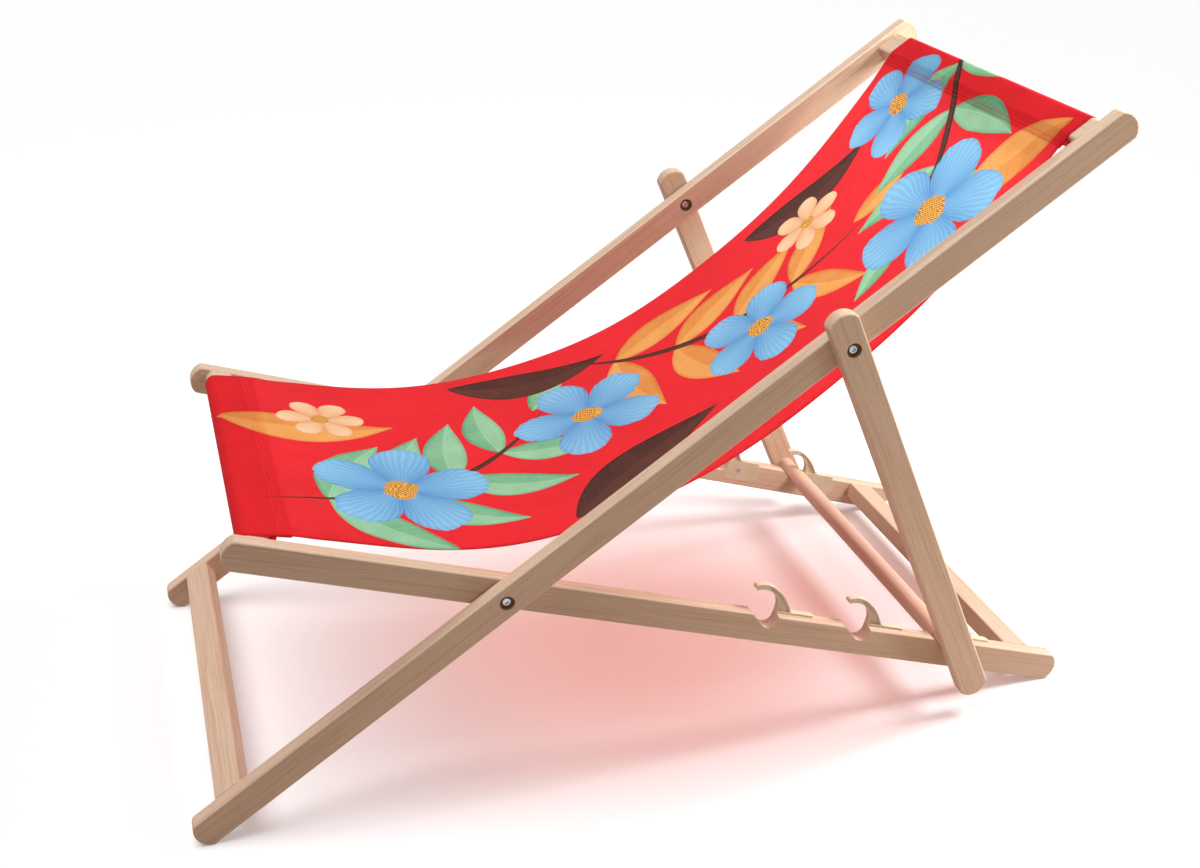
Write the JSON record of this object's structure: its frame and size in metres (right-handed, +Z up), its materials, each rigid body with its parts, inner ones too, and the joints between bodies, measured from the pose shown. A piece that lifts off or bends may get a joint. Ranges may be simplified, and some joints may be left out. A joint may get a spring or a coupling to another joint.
{
  "type": "chaise lounge",
  "caption": "Folding wooden deck chair with a hanging canvas sling, a notched and hooked seat frame and a prop frame that sets the recline.",
  "frame": {"origin": "on the floor under the middle of the chair's overall box", "axes": "+Z up, +X to the sitter's left across the width, +Y from the front edge towards the headrest; the chair faces -Y"},
  "size_m": [0.6, 1.0886, 0.7395],
  "materials": {
    "beech": "planed beech, clear satin",
    "canvas": "printed cotton canvas",
    "hook_plastic": "moulded beige plastic",
    "steel": "zinc-plated, domed"
  },
  "bodies": {
    "seat_frame": {"seat_rail_left": "beech", "seat_rail_right": "beech", "seat_front_bar": "beech", "seat_rear_bar": "beech", "hook_screws_left": "steel", "hook_screws_right": "steel", "main_pivot_washer_left": "steel", "main_pivot_washer_right": "steel", "hook_left_front": "hook_plastic", "hook_left_middle": "hook_plastic", "hook_left_rear": "hook_plastic", "hook_right_front": "hook_plastic", "hook_right_middle": "hook_plastic", "hook_right_rear": "hook_plastic"},
    "back_frame": {"back_rail_left": "beech", "back_rail_right": "beech", "back_top_bar": "beech", "back_floor_bar": "beech", "sling": "canvas", "main_pivot_bolt_left": "steel", "main_pivot_nut_left": "steel", "prop_pivot_bolt_left": "steel", "prop_pivot_nut_left": "steel", "prop_pivot_washer_left": "steel", "main_pivot_bolt_right": "steel", "main_pivot_nut_right": "steel", "prop_pivot_bolt_right": "steel", "prop_pivot_nut_right": "steel", "prop_pivot_washer_right": "steel"},
    "prop": {"prop_strut_left": "beech", "prop_strut_right": "beech", "prop_dowel": "beech"}
  },
  "joints": [
    {"name": "back_raise", "type": "hinge", "parent": "seat_frame", "child": "back_frame", "pos_m": [0, -0.17971, 0.24964], "axis": [1, 0, 0], "range_deg": [0, 24], "deforming": ["sling"]},
    {"name": "prop_swing", "type": "hinge", "parent": "back_frame", "child": "prop", "pos_m": [0, 0.20966, 0.5093], "axis": [1, 0, 0], "range_deg": [-23.6, 0]}
  ],
  "couplings": [
    {"joint": "prop_swing", "follows": "back_raise", "ratio": -0.98}
  ]
}
